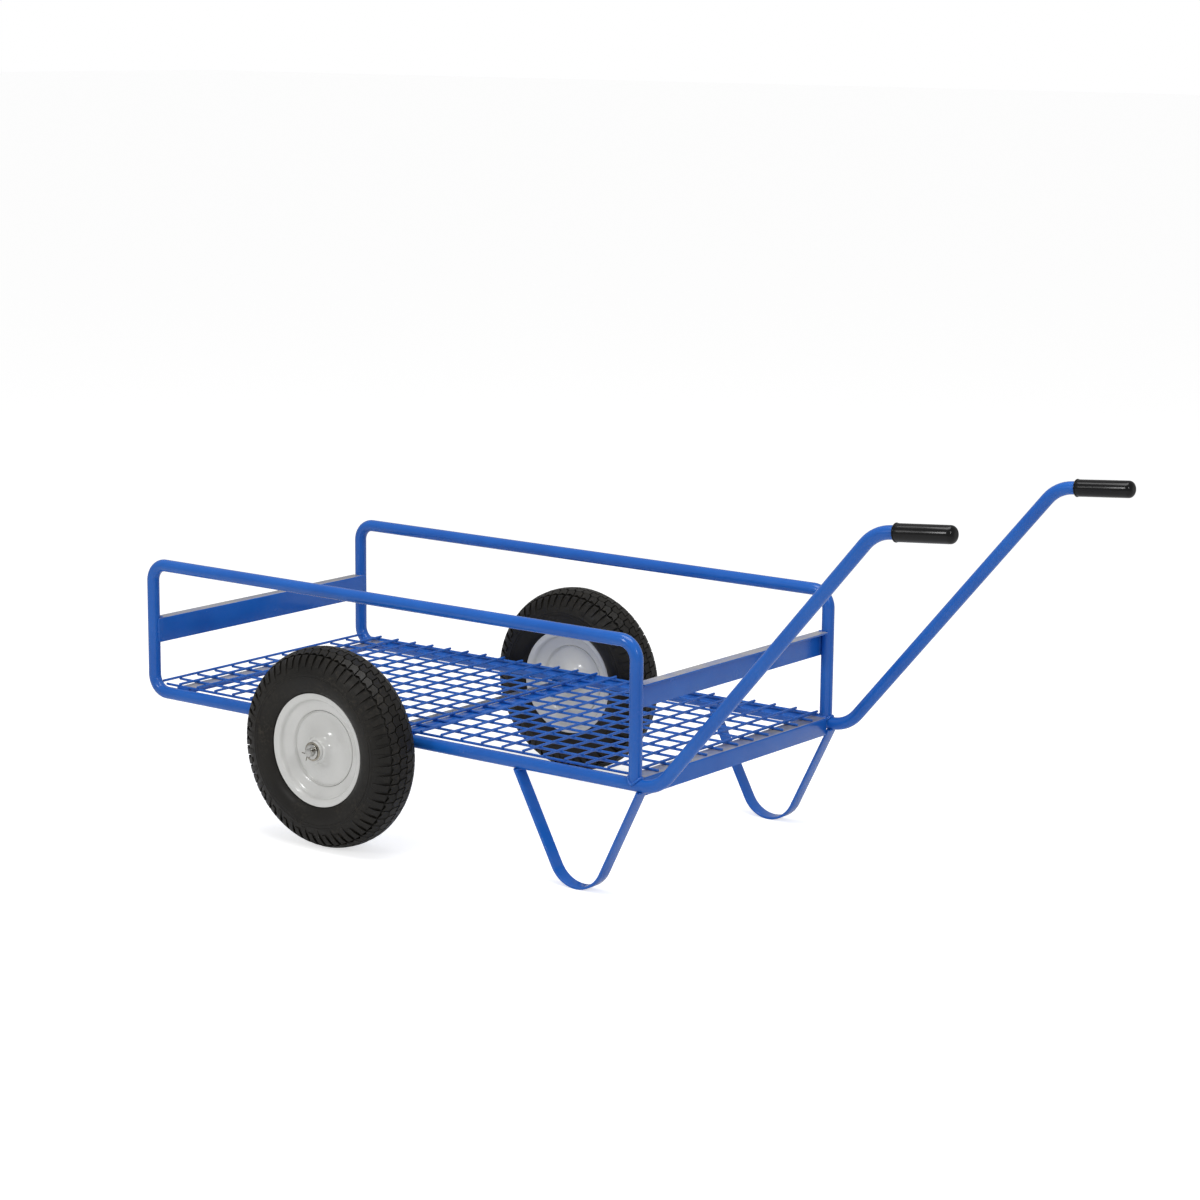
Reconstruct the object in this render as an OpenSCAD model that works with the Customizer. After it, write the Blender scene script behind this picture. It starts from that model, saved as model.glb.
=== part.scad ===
// Two-wheeled steel garden cart: a mesh deck between two bent side tubes,
// with V legs at the back and pneumatic wheels on a straight axle.
// +X points to the handles, +Y to the right of a person pulling them, +Z up.

/* [Frame] */
// Outside diameter of the bent side tubes
tube_d = 25.4; // [22:0.1:28]
// Wall of the side tubes
tube_wall = 2; // [1.5:0.1:3]
// Length of the bed between post centres
bed_length = 1250; // [1150:1:1400]
// Width of the bed between side tube centres
bed_width = 650; // [600:1:700]
// Height of the sides between lower and upper tube centres
side_height = 270; // [240:1:320]
// Distance of the axle behind the front posts
axle_setback = 560; // [540:1:580]
// Centreline radius of the corner bends
corner_r = 36; // [34:1:42]
// Centreline radius of the two handle bends
handle_r = 76; // [60:1:80]

/* [Handles] */
// Corner of the lower handle bend, behind the rear post
handle_start = 52; // [50:1:80]
// Run of the sloping part of the handle
handle_run = 453; // [400:1:500]
// Rise of the sloping part of the handle
handle_rise = 531; // [500:1:600]
// Upward tilt of the grip section, in degrees
grip_tilt = 4.4; // [2:0.1:6]
// Length of the grip section of the tube, from its bend's corner
grip_reach = 157; // [150:1:190]
// Outside diameter of the grips
grip_d = 33; // [30:0.5:36]
// Length of the grips
grip_length = 119; // [110:1:128]

/* [Crossbars] */
// Height of the upright web of the upper crossbars
bar_web = 51; // [40:1:60]
// Width of the top flange of the upper crossbars
bar_flange = 25.4; // [20:0.1:25.4]
// Thickness of all angle iron
angle_t = 3.2; // [2.5:0.1:4]
// Height of the front crossbar's top above the lower rail centre
front_bar_top = 155.5; // [120:0.5:180]
// Height of the rear crossbar's top above the lower rail centre
rear_bar_top = 188.5; // [150:0.5:200]

/* [Deck] */
// Diameter of the deck wires
wire_d = 4.8; // [4:0.1:6]
// Spacing of the wires that run across the bed
cross_pitch = 50.8; // [48:0.1:52]
// Number of wires across the bed
cross_count = 25; // [20:1:25]
// Spacing of the wires that run along the bed
long_pitch = 52.5; // [48:0.1:52.5]
// Number of wires along the bed
long_count = 13; // [10:1:13]
// Width of the flanges under the deck
deck_flange = 38; // [30:1:40]
// Depth of the rear deck angle
rear_leg = 35; // [25:1:45]
// Depth of the front deck angle
front_leg = 20; // [10:1:30]
// Distance of the front deck angle behind the front posts
front_angle_setback = 52; // [48:1:60]
// Distance of the middle bar behind the front posts
middle_bar_setback = 663; // [640:1:690]
// Distance of the rear deck angle's back face behind the rear posts
rear_angle_setback = 12; // [8:1:16]

/* [Legs] */
// Width of the flat bar of the V legs
leg_w = 30; // [24:1:32]
// Thickness of the flat bar of the V legs
leg_t = 5; // [4:0.5:6]
// Distance of the front limb's top behind the front posts
leg_front = 975; // [965:1:985]
// Distance of the rear limb's top behind the front posts
leg_rear = 1264; // [1255:1:1270]
// Distance of the foot behind the front posts
leg_foot = 1126; // [1120:1:1132]
// Centreline radius at the foot of the V legs
foot_r = 63; // [50:1:70]

/* [Wheels] */
// Outside diameter of the tyres
tyre_d = 402; // [396:1:408]
// Width of the tyres
tyre_w = 102; // [96:1:106]
// Outside diameter of the rim flanges
rim_d = 229; // [228:0.5:230]
// Diameter of the axle
axle_d = 15.88; // [15.8:0.01:16]
// Distance from side tube centre to wheel centre
wheel_offset = 77; // [76:1:82]
// Half the length of a hub over its bearing flanges
hub_half = 51; // [50:0.5:52]
// Number of balls in a bearing
ball_count = 9; // [7:1:10]

/* [Hidden] */

BLUE = [0.10, 0.27, 0.62];
WHITE = [0.86, 0.87, 0.86];
BLACK = [0.07, 0.07, 0.07];
ZINC = [0.72, 0.73, 0.74];
STEEL = [0.62, 0.62, 0.64];

touch = 0.02;                        // gap between surfaces that only touch
tube_r = tube_d / 2;
axle_r = axle_d / 2;
wire_r = wire_d / 2;
tyre_r = tyre_d / 2;
rail_z = tyre_r + axle_r + touch + tube_r;   // lower rail centre above the ground
half_w = bed_width / 2;
wheel_y = half_w + wheel_offset;
end_cap = 3;                         // closed end of a grip
grip_round = 11;                     // rounding of a grip's closed end
grip_end_x = bed_length + handle_start + handle_run
    + (grip_reach + end_cap) * cos(grip_tilt) + (grip_d / 2 - grip_round) * sin(grip_tilt);
front_x = (tube_r - grip_end_x) / 2; // front post centre, so that X is centred
axle_x = front_x + axle_setback;
$fn = 48;

// ---- outlines and paths ---------------------------------------------------

function unit(v) = v / norm(v);
function left_of(v) = [-v[1], v[0]];
function heading(v) = atan2(v[1], v[0]);
function turn_at(p, i) =
    let (a = unit(p[i] - p[i - 1]), b = unit(p[i + 1] - p[i]))
    atan2(a[0] * b[1] - a[1] * b[0], a * b);
function setback(p, r, i) =
    (i == 0 || i == len(p) - 1) ? 0 : r[i] * tan(abs(turn_at(p, i)) / 2);

// Children are a cross-section: its x lies in the path's plane, its y across it.
// The path is a list of corners in the XY plane with a bend radius at each.
// With a lap, the straights run that far into bends that are drawn swell times as
// thick, so that the lengths join without a seam where their surfaces are tangent.
module bent_path(p, r, lap = 0, swell = 1) {
    last = len(p) - 1;
    for (i = [0 : last - 1]) {
        dir = unit(p[i + 1] - p[i]);
        from = p[i] + dir * (setback(p, r, i) - (i == 0 ? 0 : lap));
        to = p[i + 1] - dir * (setback(p, r, i + 1) - (i + 1 == last ? 0 : lap));
        translate([from[0], from[1], 0]) rotate([0, 0, heading(dir)]) rotate([90, 0, 90])
            linear_extrude(norm(to - from)) children();
    }
    for (i = [1 : last - 1]) {
        dir = unit(p[i] - p[i - 1]);
        turn = turn_at(p, i);
        side = sign(turn);
        centre = p[i] - dir * setback(p, r, i) + left_of(dir) * side * r[i];
        start = heading(dir) - side * 90 + min(0, turn);
        translate([centre[0], centre[1], 0]) rotate([0, 0, start])
            rotate_extrude(angle = abs(turn), $fn = 96)
                translate([r[i], 0]) scale([swell, swell]) children();
    }
}

// A closed outline of even thickness around an open line of points.
function normal_at(p, i) =
    let (a = i == 0 ? unit(p[1] - p[0]) : unit(p[i] - p[i - 1]),
         b = i == len(p) - 1 ? a : unit(p[i + 1] - p[i]),
         m = unit(left_of(a) + left_of(b)))
    m / (m * left_of(a));
function strip(p, t) = concat(
    [for (i = [0 : len(p) - 1]) p[i] + normal_at(p, i) * t / 2],
    [for (i = [len(p) - 1 : -1 : 0]) p[i] - normal_at(p, i) * t / 2]);

// Turns an outline of [distance from the wheel's middle, radius] about the axle.
// side is 1 for the left wheel's own outline and -1 for its mirror.
module turned(outline, side = 1) {
    rotate([90, 0, 0]) rotate_extrude($fn = 120)
        polygon([for (p = outline) [p[1], side * p[0]]]);
}

// Puts a wheel piece, made about the origin with its outboard face to -Y, on its hub.
module on_left() { translate([axle_x, -wheel_y, tyre_r]) children(); }
module on_right() { translate([axle_x, wheel_y, tyre_r]) rotate([0, 0, 180]) children(); }

// ---- side tubes, grips and crossbars -----------------------------------------

handle_top = [bed_length + handle_start + handle_run, handle_rise];
side_radii = [0, handle_r, handle_r, corner_r, corner_r, corner_r, 0];
function side_path(post_foot) = [
    handle_top + grip_reach * [cos(grip_tilt), sin(grip_tilt)],
    handle_top,
    [bed_length + handle_start, 0],
    [0, 0],
    [0, side_height],
    [bed_length, side_height],
    [bed_length, post_foot]
];

// One tube from the grip down the handle, along the bed, up the front, back along
// the top and down the rear post, which stands welded on the lower rail.
module side_tube() {
    translate([front_x, 0, rail_z]) rotate([90, 0, 0]) difference() {
        bent_path(side_path(0), side_radii, 0.5, 1.003) circle(tube_r);
        bent_path(side_path(tube_r), side_radii, 0.5, 1.003) circle(tube_r - tube_wall);
    }
}
module side_tube_left() { color(BLUE) translate([0, -half_w, 0]) side_tube(); }
module side_tube_right() { color(BLUE) translate([0, half_w, 0]) side_tube(); }

module grip() {
    lip = 0.9;
    outline = concat(
        [[tube_r + touch, 0], [grip_d / 2 + lip - 1, 0], [grip_d / 2 + lip, 1],
         [grip_d / 2 + lip, 3], [grip_d / 2, 5]],
        [for (a = [0 : 15 : 90]) [grip_d / 2 - grip_round + grip_round * cos(a),
                                  grip_length - grip_round + grip_round * sin(a)]],
        [[0, grip_length], [0, grip_length - end_cap + touch],
         [tube_r + touch, grip_length - end_cap + touch]]);
    from = handle_top + (grip_reach + end_cap - grip_length) * [cos(grip_tilt), sin(grip_tilt)];
    translate([front_x + from[0], 0, rail_z + from[1]]) rotate([0, 90 - grip_tilt, 0])
        rotate_extrude($fn = 72) polygon(outline);
}
module grip_left() { color(BLACK) translate([0, -half_w, 0]) grip(); }
module grip_right() { color(BLACK) translate([0, half_w, 0]) grip(); }

// Angle iron along Y: the web's face lies against the posts and the top flange
// points out between them. The corner is at the origin, the flange towards -X.
module upper_bar() {
    translate([0, -half_w, -bar_web]) cube([angle_t, bed_width, bar_web]);
    translate([angle_t - bar_flange, tube_r + 0.5 - half_w, -angle_t])
        cube([bar_flange - angle_t + 0.1, bed_width - tube_d - 1, angle_t]);
}
module front_upper_bar() {
    color(BLUE) translate([front_x + tube_r + touch, 0, rail_z + front_bar_top]) upper_bar();
}
module rear_upper_bar() {
    color(BLUE) translate([front_x + bed_length - tube_r - touch, 0, rail_z + rear_bar_top])
        mirror([1, 0, 0]) upper_bar();
}

// ---- deck -----------------------------------------------------------------------

deck_top = rail_z + tube_r;          // plane that the wires lie on
deck_half = half_w - tube_r - 0.3;   // cut to fit between the side tubes
rear_half = half_w - leg_w / 2 - 0.2; // the rear angle also clears the legs
front_angle_x = front_x + front_angle_setback;
middle_bar_x = front_x + middle_bar_setback;
rear_angle_x = front_x + bed_length + rear_angle_setback;

module deck_plate(from_x, width, top, height, half = deck_half) {
    translate([from_x, -half, top - height]) cube([width, 2 * half, height]);
}
module deck_front_angle() {
    color(BLUE) {
        deck_plate(front_angle_x, deck_flange, deck_top, angle_t);
        deck_plate(front_angle_x, angle_t, deck_top, front_leg);
    }
}
module deck_middle_bar() {
    color(BLUE) deck_plate(middle_bar_x, deck_flange, deck_top, angle_t + 1);
}
module deck_rear_angle() {
    color(BLUE) {
        deck_plate(rear_angle_x - deck_flange, deck_flange, deck_top, angle_t, rear_half);
        deck_plate(rear_angle_x - angle_t, angle_t, deck_top, rear_leg, rear_half);
    }
}

edge_inset = 12;                     // outer wires' distance inside the side tubes
first_cross_x = front_x + edge_inset;
first_long_y = -half_w + edge_inset;
last_cross_x = first_cross_x + (cross_count - 1) * cross_pitch;
last_long_y = first_long_y + (long_count - 1) * long_pitch;
long_z = deck_top + touch + wire_r;
cross_z = long_z + wire_d + touch;
long_stub = 25;                      // wire left behind the last cross wire
cross_stub = 5;                      // wire left outside the last long wire
cut_stub = 3;                        // wire left where the mesh is trimmed flush
post_clear = tube_r + 1.5;           // outer long wires stop short of the posts
bend_clear = [23, corner_r + 2];     // where they start, past the front bends

module deck_long_wires() {
    color(BLUE) for (i = [0 : long_count - 1]) {
        outer = i == 0 || i == long_count - 1;
        from = i == 0 ? front_x + bend_clear[0]
             : i == long_count - 1 ? front_x + bend_clear[1]
             : first_cross_x - cut_stub;
        to = outer ? front_x + bed_length - post_clear : last_cross_x + long_stub;
        translate([from, first_long_y + i * long_pitch, long_z]) rotate([0, 90, 0])
            cylinder(d = wire_d, h = to - from, $fn = 24);
    }
}
module deck_cross_wires() {
    color(BLUE) for (i = [0 : cross_count - 1]) {
        from = i == 0 ? first_long_y + 0.5 : first_long_y - cut_stub;
        to = i == 0 ? half_w - tube_r - 0.5 : last_long_y + cross_stub;
        translate([first_cross_x + i * cross_pitch, from, cross_z]) rotate([-90, 0, 0])
            cylinder(d = wire_d, h = to - from, $fn = 24);
    }
}

// ---- legs -----------------------------------------------------------------------

leg_front_x = front_x + leg_front;
leg_rear_x = front_x + leg_rear;
leg_foot_x = front_x + leg_foot;
leg_top_z = rail_z - tube_r - touch;

// A flat bar bent into a V with a rounded foot that just meets the ground.
// The corner of the V lies below the foot, at the depth that the bend needs.
function foot_depth(half_angle) = foot_r * (1 / sin(half_angle) - 1) - leg_t / 2;
leg_half_angle = atan((leg_rear_x - leg_front_x) / 2 / (leg_top_z + foot_depth(27)));
leg_path = [
    [leg_front_x - 4, leg_top_z + 8],          // cut off flush below the side tube
    [leg_foot_x, -foot_depth(leg_half_angle)],
    [leg_rear_x + 4, leg_top_z + 8]
];
leg_radii = [0, foot_r, 0];

module leg() {
    intersection() {
        rotate([90, 0, 0]) bent_path(leg_path, leg_radii, 0.5, 1.004)
            square([leg_t, leg_w], center = true);
        translate([leg_front_x - 50, -leg_w, 0]) cube([400, 2 * leg_w, leg_top_z]);
    }
}
module leg_left() { color(BLUE) translate([0, -half_w, 0]) leg(); }
module leg_right() { color(BLUE) translate([0, half_w, 0]) leg(); }

// ---- axle and what is fixed on it -------------------------------------------------

race_half = hub_half + 0.6;          // the cones stand just proud of the hub
cone_length = 11;
washer_t = 2;
washer_r = 15;
pin_y = race_half + washer_t + 3.2;  // cotter pin's hole, from the wheel's middle
axle_tail = pin_y + 6.5;
pin_wire_r = 0.95;
pin_hole_r = 2.1;
pin_turn = 55;                       // the pin leans over, its legs to the front

module axle() {
    color(ZINC) difference() {
        translate([axle_x, 0, tyre_r]) rotate([90, 0, 0])
            cylinder(r = axle_r, h = 2 * (wheel_y + axle_tail), center = true);
        for (side = [-1, 1])
            translate([axle_x, side * (wheel_y + pin_y), tyre_r]) rotate([0, -side * pin_turn, 0])
                cylinder(r = pin_hole_r, h = 2 * axle_d, center = true, $fn = 32);
    }
}

// A ring on the axle, from one distance outboard of the wheel's middle to another.
module ring(inner_r, outer_r, from, to) {
    turned([[from, inner_r], [from, outer_r], [to, outer_r], [to, inner_r]]);
}

module inner_spacer() {
    color(ZINC) ring(axle_r + touch, 12, -wheel_offset + tube_r + 0.3, -race_half - 0.05);
}
module inner_spacer_left() { on_left() inner_spacer(); }
module inner_spacer_right() { on_right() inner_spacer(); }

module outer_washer() {
    color(ZINC) ring(axle_r + 0.2, washer_r, race_half + 0.05, race_half + washer_t);
}
module outer_washer_left() { on_left() outer_washer(); }
module outer_washer_right() { on_right() outer_washer(); }

// A split pin: one wire from leg to eye to leg, its legs spread beyond the axle.
half_pin_line = [
    [9, -axle_r - 12], [pin_wire_r + 0.05, -axle_r - 1.5], [pin_wire_r + 0.05, axle_r + 1],
    [4, axle_r + 4.5]
];
pin_line = concat(half_pin_line, [[0, axle_r + 11]],
                  [for (i = [3 : -1 : 0]) [-half_pin_line[i][0], half_pin_line[i][1]]]);
pin_radii = [0, 3, 2, 2.4, 2.4, 2.4, 2, 3, 0];
module cotter_pin() {
    color(STEEL) translate([0, -pin_y, 0]) rotate([0, pin_turn, 0]) rotate([90, 0, 0])
        bent_path(pin_line, pin_radii, 0.05, 1.01) circle(pin_wire_r, $fn = 20);
}
module cotter_pin_left() { on_left() cotter_pin(); }
module cotter_pin_right() { on_right() cotter_pin(); }

// ---- bearings ----------------------------------------------------------------------

ball_r = 2.778;
ball_pitch_r = 12.9;
ball_y = hub_half - 5;
cup_r = 17.46;
cup_flange_r = 19;
cup_flange_t = 1.5;
cup_depth = 10;
race_gap = 0.05;

// The cone sits still on the axle. Its groove leaves the balls room to run.
module cone(side) {
    color(STEEL) difference() {
        turned([[race_half - cone_length, axle_r + touch], [race_half - cone_length, 11],
                [race_half, 11], [race_half, axle_r + touch]], side);
        translate([0, -side * ball_y, 0]) rotate([90, 0, 0]) rotate_extrude($fn = 120)
            translate([ball_pitch_r, 0]) circle(ball_r + race_gap, $fn = 48);
    }
}
module outer_cone_left() { on_left() cone(1); }
module inner_cone_left() { on_left() cone(-1); }
module outer_cone_right() { on_right() cone(1); }
module inner_cone_right() { on_right() cone(-1); }

// The cup is pressed into the hub tube, and its flange covers the tube's end.
module cup(side) {
    color(STEEL) difference() {
        turned([[hub_half - cup_depth, 14.8], [hub_half, 14.8], [hub_half, cup_flange_r],
                [hub_half - cup_flange_t, cup_flange_r], [hub_half - cup_flange_t, cup_r],
                [hub_half - cup_depth, cup_r]], side);
        translate([0, -side * ball_y, 0]) rotate([90, 0, 0]) rotate_extrude($fn = 120)
            translate([ball_pitch_r, 0]) circle(ball_r + race_gap, $fn = 48);
    }
}
module outer_cup_left() { on_left() cup(1); }
module inner_cup_left() { on_left() cup(-1); }
module outer_cup_right() { on_right() cup(1); }
module inner_cup_right() { on_right() cup(-1); }

module balls(side) {
    color(STEEL) for (i = [0 : ball_count - 1])
        rotate([0, i * 360 / ball_count, 0]) translate([ball_pitch_r, -side * ball_y, 0])
            sphere(ball_r, $fn = 24);
}
module outer_balls_left() { on_left() balls(1); }
module inner_balls_left() { on_left() balls(-1); }
module outer_balls_right() { on_right() balls(1); }
module inner_balls_right() { on_right() balls(-1); }

// ---- wheels ------------------------------------------------------------------------

hub_r = 19.6;
rim_t = 1.8;
rim_r = rim_d / 2;
well_r = 76.8;                       // middle of the drop centre's sheet
valve_r = 88;                        // radius at which the valve passes the rim

module hub_tube() {
    color(WHITE) ring(cup_r + touch, hub_r, -hub_half + cup_flange_t + 0.05,
                      hub_half - cup_flange_t - 0.05);
}
module hub_tube_left() { on_left() hub_tube(); }
module hub_tube_right() { on_right() hub_tube(); }

// Half of the rolled rim: drop centre, bead seat and flange.
rim_line = [
    [touch, well_r], [18.5, well_r], [25, 96.5], [27.5, 100.2], [33, 100.6],
    [36.2, 103], [37.1, 107], [37.3, rim_r - 2.4], [38.6, rim_r - 0.6]
];
module rim_half(side) {
    color(WHITE) difference() {
        turned(strip(rim_line, rim_t), side);
        if (side < 0) translate([valve_r, 0, 0]) rotate([-90, 0, 0]) cylinder(r = 5.5, h = 40);
    }
}
module rim_outer_half_left() { on_left() rim_half(1); }
module rim_inner_half_left() { on_left() rim_half(-1); }
module rim_outer_half_right() { on_right() rim_half(1); }
module rim_inner_half_right() { on_right() rim_half(-1); }

// A dished disc from the drop centre to the hub, with a flared boss.
disc_edge_r = well_r - rim_t / 2 - touch - rim_t / 2;
disc_line = [
    [19, disc_edge_r], [15, disc_edge_r], [13.2, disc_edge_r - 2], [13.6, 66], [15.5, 52],
    [18.5, 42], [22.5, 34.5], [28, 29], [34, 25.8], [39.5, 24], [42, 22.2], [42, hub_r + touch]
];
module wheel_disc(side) { color(WHITE) turned(strip(disc_line, rim_t), side); }
module outer_disc_left() { on_left() wheel_disc(1); }
module inner_disc_left() { on_left() wheel_disc(-1); }
module outer_disc_right() { on_right() wheel_disc(1); }
module inner_disc_right() { on_right() wheel_disc(-1); }

// Section of the tyre: a rounded square for the casing, with two beads on the rim.
casing_mid = 150;                    // radius of the widest place
casing_power = 2.6;
function rounded(half_width, height, a) = [
    half_width * pow(sin(a), 2 / casing_power),
    casing_mid + height * sign(cos(a)) * pow(abs(cos(a)), 2 / casing_power)
];
half_tyre_outline = [for (a = [0 : 9 : 126]) rounded(tyre_w / 2, tyre_r - casing_mid, a)];
half_cavity_outline = [for (a = [126 : -9 : 0]) rounded(tyre_w / 2 - 5, tyre_r - casing_mid - 9, a)];
bead_outline = [
    [37.8, 117], [35.8, 113.5], [35, 105], [33, 101.9], [24, 101.9], [24.5, 106]
];
half_tyre = concat(half_tyre_outline, bead_outline, half_cavity_outline);
module tyre() {
    color(BLACK) {
        turned(half_tyre, 1);
        turned(half_tyre, -1);
    }
}
module tyre_left() { on_left() tyre(); }
module tyre_right() { on_right() tyre(); }

// The inner tube fills the cavity and the drop centre, a little clear of both.
tube_skin = 2;
half_tube_line = concat(
    [for (a = [0 : 12 : 120]) rounded(tyre_w / 2 - 8, tyre_r - casing_mid - 12, a)],
    [[21, 108], [20, 96], [14.5, 83], [13.5, 80.5], [0, 80.5]]);
module inner_tube() {
    color(BLACK) {
        turned(strip(half_tube_line, tube_skin), 1);
        turned(strip(half_tube_line, tube_skin), -1);
    }
}
module inner_tube_left() { on_left() inner_tube(); }
module inner_tube_right() { on_right() inner_tube(); }

// The valve leaves the inboard side of the rim, parallel to the axle.
valve_base = 20.3;                   // just outside the inner tube
module valve_stem() {
    color(BLACK) translate([valve_r, valve_base, 0]) rotate([-90, 0, 0]) {
        cylinder(r1 = 5, r2 = 3.9, h = 14, $fn = 40);
        cylinder(r = 3.9, h = 22, $fn = 40);
    }
}
module valve_cap() {
    color(BLACK) translate([valve_r, valve_base + 22.05, 0]) rotate([-90, 0, 0]) {
        cylinder(r = 4.6, h = 7, $fn = 40);
        cylinder(r = 3, h = 9.5, $fn = 40);
    }
}
module valve_stem_left() { on_left() valve_stem(); }
module valve_cap_left() { on_left() valve_cap(); }
module valve_stem_right() { on_right() valve_stem(); }
module valve_cap_right() { on_right() valve_cap(); }

side_tube_left();
side_tube_right();
front_upper_bar();
rear_upper_bar();
deck_front_angle();
deck_middle_bar();
deck_rear_angle();
deck_long_wires();
deck_cross_wires();
leg_left();
leg_right();
axle();
grip_left();
grip_right();
inner_spacer_left();
inner_spacer_right();
outer_washer_left();
outer_washer_right();
cotter_pin_left();
cotter_pin_right();
outer_cone_left();
inner_cone_left();
outer_cone_right();
inner_cone_right();
tyre_left();
inner_tube_left();
valve_stem_left();
valve_cap_left();
rim_outer_half_left();
rim_inner_half_left();
outer_disc_left();
inner_disc_left();
hub_tube_left();
outer_cup_left();
inner_cup_left();
outer_balls_left();
inner_balls_left();
tyre_right();
inner_tube_right();
valve_stem_right();
valve_cap_right();
rim_outer_half_right();
rim_inner_half_right();
outer_disc_right();
inner_disc_right();
hub_tube_right();
outer_cup_right();
inner_cup_right();
outer_balls_right();
inner_balls_right();
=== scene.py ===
import math

import bpy
from mathutils import Matrix, Vector


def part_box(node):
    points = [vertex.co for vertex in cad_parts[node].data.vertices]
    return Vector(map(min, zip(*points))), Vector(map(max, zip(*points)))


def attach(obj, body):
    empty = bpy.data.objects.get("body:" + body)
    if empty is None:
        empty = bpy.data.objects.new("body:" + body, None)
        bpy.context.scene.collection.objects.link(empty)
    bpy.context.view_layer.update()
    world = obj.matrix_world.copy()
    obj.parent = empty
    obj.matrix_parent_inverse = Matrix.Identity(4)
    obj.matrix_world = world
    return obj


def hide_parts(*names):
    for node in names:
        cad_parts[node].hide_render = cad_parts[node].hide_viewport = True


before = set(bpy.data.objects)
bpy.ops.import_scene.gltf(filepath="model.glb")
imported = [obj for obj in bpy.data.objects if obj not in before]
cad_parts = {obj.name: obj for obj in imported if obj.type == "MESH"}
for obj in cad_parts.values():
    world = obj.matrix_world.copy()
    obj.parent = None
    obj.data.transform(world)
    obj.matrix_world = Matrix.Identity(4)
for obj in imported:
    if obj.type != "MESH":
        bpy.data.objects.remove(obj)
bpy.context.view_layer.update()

bpy.ops.object.select_all(action="DESELECT")

# ---- Studio ------------------------------------------------------------------
# The cart stands on a pale floor in a white room, lit by the room, one large
# softbox overhead and two tall ones that draw the highlights on tubes and rims.
scene = bpy.context.scene
scene.view_settings.view_transform = "Standard"

camera_data = bpy.data.cameras.new("camera")
camera_data.sensor_width = 36
camera_data.lens = 89.82
camera_data.clip_end = 200
camera = bpy.data.objects.new("camera", camera_data)
camera.location = (3.4735, -4.6679, 1.6151)
camera.rotation_euler = [math.radians(a) for a in (78.999, -0.551, 37.004)]
scene.collection.objects.link(camera)
scene.camera = camera


def glow(tree, socket, as_light, to_camera):
    """Sets a strength: one value for the light it gives, another for how it looks."""
    path = tree.nodes.new("ShaderNodeLightPath")
    pick = tree.nodes.new("ShaderNodeMapRange")
    pick.inputs["To Min"].default_value = as_light
    pick.inputs["To Max"].default_value = to_camera
    tree.links.new(path.outputs["Is Camera Ray"], pick.inputs["Value"])
    tree.links.new(pick.outputs["Result"], socket)


# The backdrop reads as clean white, while the room lights the cart more gently.
room = bpy.data.worlds.new("white room")
room.use_nodes = True
backdrop = room.node_tree.nodes["Background"]
backdrop.inputs["Color"].default_value = (1, 1, 1, 1)
glow(room.node_tree, backdrop.inputs["Strength"], 0.42, 1.0)
scene.world = room


def softbox(name, place, aim, size, watts):
    light = bpy.data.lights.new(name, "AREA")
    light.shape = "RECTANGLE"
    light.size, light.size_y = size
    light.energy = watts
    lamp = bpy.data.objects.new(name, light)
    lamp.location = place
    lamp.rotation_euler = (Vector(aim) - Vector(place)).to_track_quat("-Z", "Y").to_euler()
    scene.collection.objects.link(lamp)


softbox("softbox_top", (0.2, -0.4, 3.6), (0, 0, 0.3), (2.6, 1.8), 62)
softbox("softbox_left", (-1.4, -4.4, 2.6), (0, 0, 0.35), (0.5, 1.2), 34)
softbox("softbox_right", (4.4, -2.4, 3.0), (0, 0, 0.35), (0.4, 1.2), 38)

bpy.ops.mesh.primitive_plane_add(size=120)
floor = bpy.context.object
floor.name = "floor"
floor_finish = bpy.data.materials.new("pale_floor")
floor_finish.use_nodes = True
floor_shader = floor_finish.node_tree.nodes["Principled BSDF"]
floor_shader.inputs["Base Color"].default_value = (0.75, 0.75, 0.75, 1)
floor_shader.inputs["Roughness"].default_value = 0.9
floor_shader.inputs["Specular IOR Level"].default_value = 0.1
floor_shader.inputs["Emission Color"].default_value = (1, 1, 1, 1)
glow(floor_finish.node_tree, floor_shader.inputs["Emission Strength"], 0.1, 0.66)
floor.data.materials.append(floor_finish)

# ---- Blue powder coat --------------------------------------------------------
# Every welded steel piece wears one baked coat. It has a faint orange peel, is
# thin and pale on sharp edges, and carries a little handling dust.


def new_group(name, takes, gives):
    group = bpy.data.node_groups.new(name, "ShaderNodeTree")
    for label, kind, value in takes:
        socket = group.interface.new_socket(label, in_out="INPUT", socket_type=kind)
        socket.default_value = value
    for label, kind in gives:
        group.interface.new_socket(label, in_out="OUTPUT", socket_type=kind)
    return group, group.nodes.new("NodeGroupInput"), group.nodes.new("NodeGroupOutput")


def noise(tree, vector, scale, detail, roughness=0.5):
    node = tree.nodes.new("ShaderNodeTexNoise")
    node.inputs["Scale"].default_value = scale
    node.inputs["Detail"].default_value = detail
    node.inputs["Roughness"].default_value = roughness
    tree.links.new(vector, node.inputs["Vector"])
    return node.outputs["Fac"]


def spread(tree, value, low, high, to_low=0.0, to_high=1.0):
    node = tree.nodes.new("ShaderNodeMapRange")
    node.inputs["From Min"].default_value = low
    node.inputs["From Max"].default_value = high
    node.inputs["To Min"].default_value = to_low
    node.inputs["To Max"].default_value = to_high
    tree.links.new(value, node.inputs["Value"])
    return node.outputs["Result"]


def blend_colours(tree, mask, first, second):
    node = tree.nodes.new("ShaderNodeMix")
    node.data_type = "RGBA"
    tree.links.new(mask, node.inputs["Factor"])
    for colour, socket in ((first, node.inputs["A"]), (second, node.inputs["B"])):
        if hasattr(colour, "links"):
            tree.links.new(colour, socket)
        else:
            socket.default_value = (*colour, 1)
    return node.outputs["Result"]


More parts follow.
